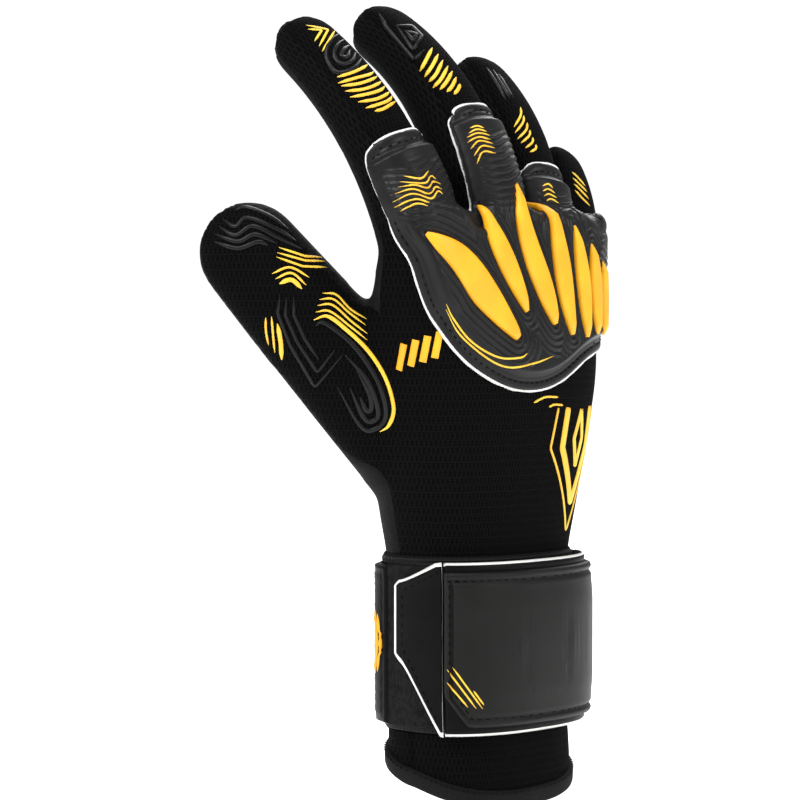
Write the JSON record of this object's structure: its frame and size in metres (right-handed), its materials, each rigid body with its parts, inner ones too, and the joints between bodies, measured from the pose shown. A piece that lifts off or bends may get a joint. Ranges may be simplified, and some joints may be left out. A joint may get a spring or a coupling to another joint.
{
  "type": "goalkeeper glove",
  "caption": "Right-hand goalkeeper glove with mesh back, moulded backhand pad, raised yellow ribs, latex palm and padded wrist strap.",
  "frame": {"origin": "middle of the cuff's mouth, at the height of the hem's lowest point", "axes": "+Z from the cuff to the fingertips, -Y the back of the hand, -X the side of the thumb"},
  "size_m": [0.153, 0.09, 0.278],
  "materials": {
    "mesh_back": "matte",
    "mesh_side": "matte",
    "sleeve_knit": "matte",
    "loop_pile": "matte",
    "palm_latex": "matte",
    "binding": "matte",
    "elastic": "matte",
    "hook_plastic": "matte",
    "strap_web": "satin",
    "strap_pad": "satin",
    "moulded_pad": "satin",
    "white_foam": "matte",
    "rib_yellow": "satin",
    "grip_silicone": "gloss",
    "print_yellow": "satin"
  },
  "bodies": {
    "cuff": {"cuff_back": "mesh_back", "cuff_palm": "sleeve_knit", "cuff_hem": "binding", "wrist_elastic": "elastic", "strap_anchor": "binding", "loop_patch": "loop_pile"},
    "strap": {"strap_band": "strap_web", "strap_block": "strap_pad", "strap_stripes": "print_yellow"},
    "strap_tab": {"strap_tab": "strap_web", "hook_patch": "hook_plastic"},
    "hand": {"hand_back": "mesh_back", "hand_palm": "palm_latex", "outer_gusset": "mesh_side", "backhand_foam": "white_foam", "backhand_pad": "moulded_pad", "knuckle_ribs": "rib_yellow", "back_emblem": "print_yellow", "side_mark": "print_yellow", "thumb_root_back": "mesh_back", "thumb_root_palm": "palm_latex"},
    "index_base": {"index_base_back": "mesh_back", "index_base_sides": "mesh_side", "index_base_palm": "palm_latex", "index_base_pad": "moulded_pad"},
    "index_tip": {"index_tip_back": "mesh_back", "index_tip_sides": "mesh_side", "index_tip_palm": "palm_latex", "index_tip_print": "print_yellow"},
    "middle_base": {"middle_base_back": "mesh_back", "middle_base_sides": "mesh_side", "middle_base_palm": "palm_latex", "middle_base_pad": "moulded_pad"},
    "middle_tip": {"middle_tip_back": "mesh_back", "middle_tip_sides": "mesh_side", "middle_tip_palm": "palm_latex", "middle_tip_print": "print_yellow"},
    "ring_base": {"ring_base_back": "mesh_back", "ring_base_sides": "mesh_side", "ring_base_palm": "palm_latex", "ring_base_pad": "moulded_pad"},
    "ring_tip": {"ring_tip_back": "mesh_back", "ring_tip_sides": "mesh_side", "ring_tip_palm": "palm_latex", "ring_tip_print": "print_yellow"},
    "little_base": {"little_base_back": "mesh_back", "little_base_sides": "mesh_side", "little_base_palm": "palm_latex", "little_base_pad": "moulded_pad"},
    "little_tip": {"little_tip_back": "mesh_back", "little_tip_sides": "mesh_side", "little_tip_palm": "palm_latex", "little_tip_print": "print_yellow"},
    "thumb_base": {"thumb_base_back": "mesh_back", "thumb_base_palm": "palm_latex", "thumb_base_print": "print_yellow"},
    "thumb_tip": {"thumb_tip_back": "mesh_back", "thumb_tip_palm": "palm_latex", "thumb_tip_print": "grip_silicone"}
  },
  "joints": [
    {"name": "wrist_bend", "type": "hinge", "parent": "cuff", "child": "hand", "pos_m": [0, 0, 0.095], "axis": [1, 0, 0], "range_deg": [-23, 23], "stiffness_Nm_per_rad": 0.6},
    {"name": "strap_swing", "type": "hinge", "parent": "cuff", "child": "strap", "pos_m": [0.03953, -0.00479, 0.055], "axis": [0, 0, 1], "range_deg": [0, 110]},
    {"name": "strap_tab_lift", "type": "hinge", "parent": "strap", "child": "strap_tab", "pos_m": [-0.03594, -0.01595, 0.055], "axis": [0, 0, 1], "range_deg": [0, 60], "stiffness_Nm_per_rad": 0.02},
    {"name": "index_root_bend", "type": "hinge", "parent": "hand", "child": "index_base", "pos_m": [-0.0409, -0.009, 0.195], "axis": [-0.9781, 0, -0.2079], "range_deg": [-9, 48], "stiffness_Nm_per_rad": 0.15},
    {"name": "index_middle_bend", "type": "hinge", "parent": "index_base", "child": "index_tip", "pos_m": [-0.04916, 0.00611, 0.23387], "axis": [-0.9781, 0, -0.2079], "range_deg": [-9, 60], "stiffness_Nm_per_rad": 0.08},
    {"name": "middle_root_bend", "type": "hinge", "parent": "hand", "child": "middle_base", "pos_m": [-0.0123, -0.012, 0.201], "axis": [-0.9994, 0, -0.0349], "range_deg": [-9, 48], "stiffness_Nm_per_rad": 0.15},
    {"name": "middle_middle_bend", "type": "hinge", "parent": "middle_base", "child": "middle_tip", "pos_m": [-0.01372, 0.00413, 0.24166], "axis": [-0.9994, 0, -0.0349], "range_deg": [-9, 60], "stiffness_Nm_per_rad": 0.08},
    {"name": "ring_root_bend", "type": "hinge", "parent": "hand", "child": "ring_base", "pos_m": [0.0143, -0.01, 0.196], "axis": [-0.9848, 0, 0.1736], "range_deg": [-9, 48], "stiffness_Nm_per_rad": 0.15},
    {"name": "ring_middle_bend", "type": "hinge", "parent": "ring_base", "child": "ring_tip", "pos_m": [0.02017, 0.00214, 0.22931], "axis": [-0.9848, 0, 0.1736], "range_deg": [-9, 60], "stiffness_Nm_per_rad": 0.08},
    {"name": "little_root_bend", "type": "hinge", "parent": "hand", "child": "little_base", "pos_m": [0.03757, -0.006, 0.182], "axis": [-0.9272, 0, 0.3746], "range_deg": [-9, 48], "stiffness_Nm_per_rad": 0.15},
    {"name": "little_middle_bend", "type": "hinge", "parent": "little_base", "child": "little_tip", "pos_m": [0.04693, 0.00017, 0.20515], "axis": [-0.9272, 0, 0.3746], "range_deg": [-9, 60], "stiffness_Nm_per_rad": 0.08},
    {"name": "thumb_root_bend", "type": "hinge", "parent": "hand", "child": "thumb_base", "pos_m": [-0.04798, 0.01884, 0.15293], "axis": [0.4364, -0.6364, 0.6361], "range_deg": [-28, 9], "stiffness_Nm_per_rad": 0.2},
    {"name": "thumb_middle_bend", "type": "hinge", "parent": "thumb_base", "child": "thumb_tip", "pos_m": [-0.06554, 0.03214, 0.17828], "axis": [0.4364, -0.6364, 0.6361], "range_deg": [-48, 9], "stiffness_Nm_per_rad": 0.1}
  ]
}
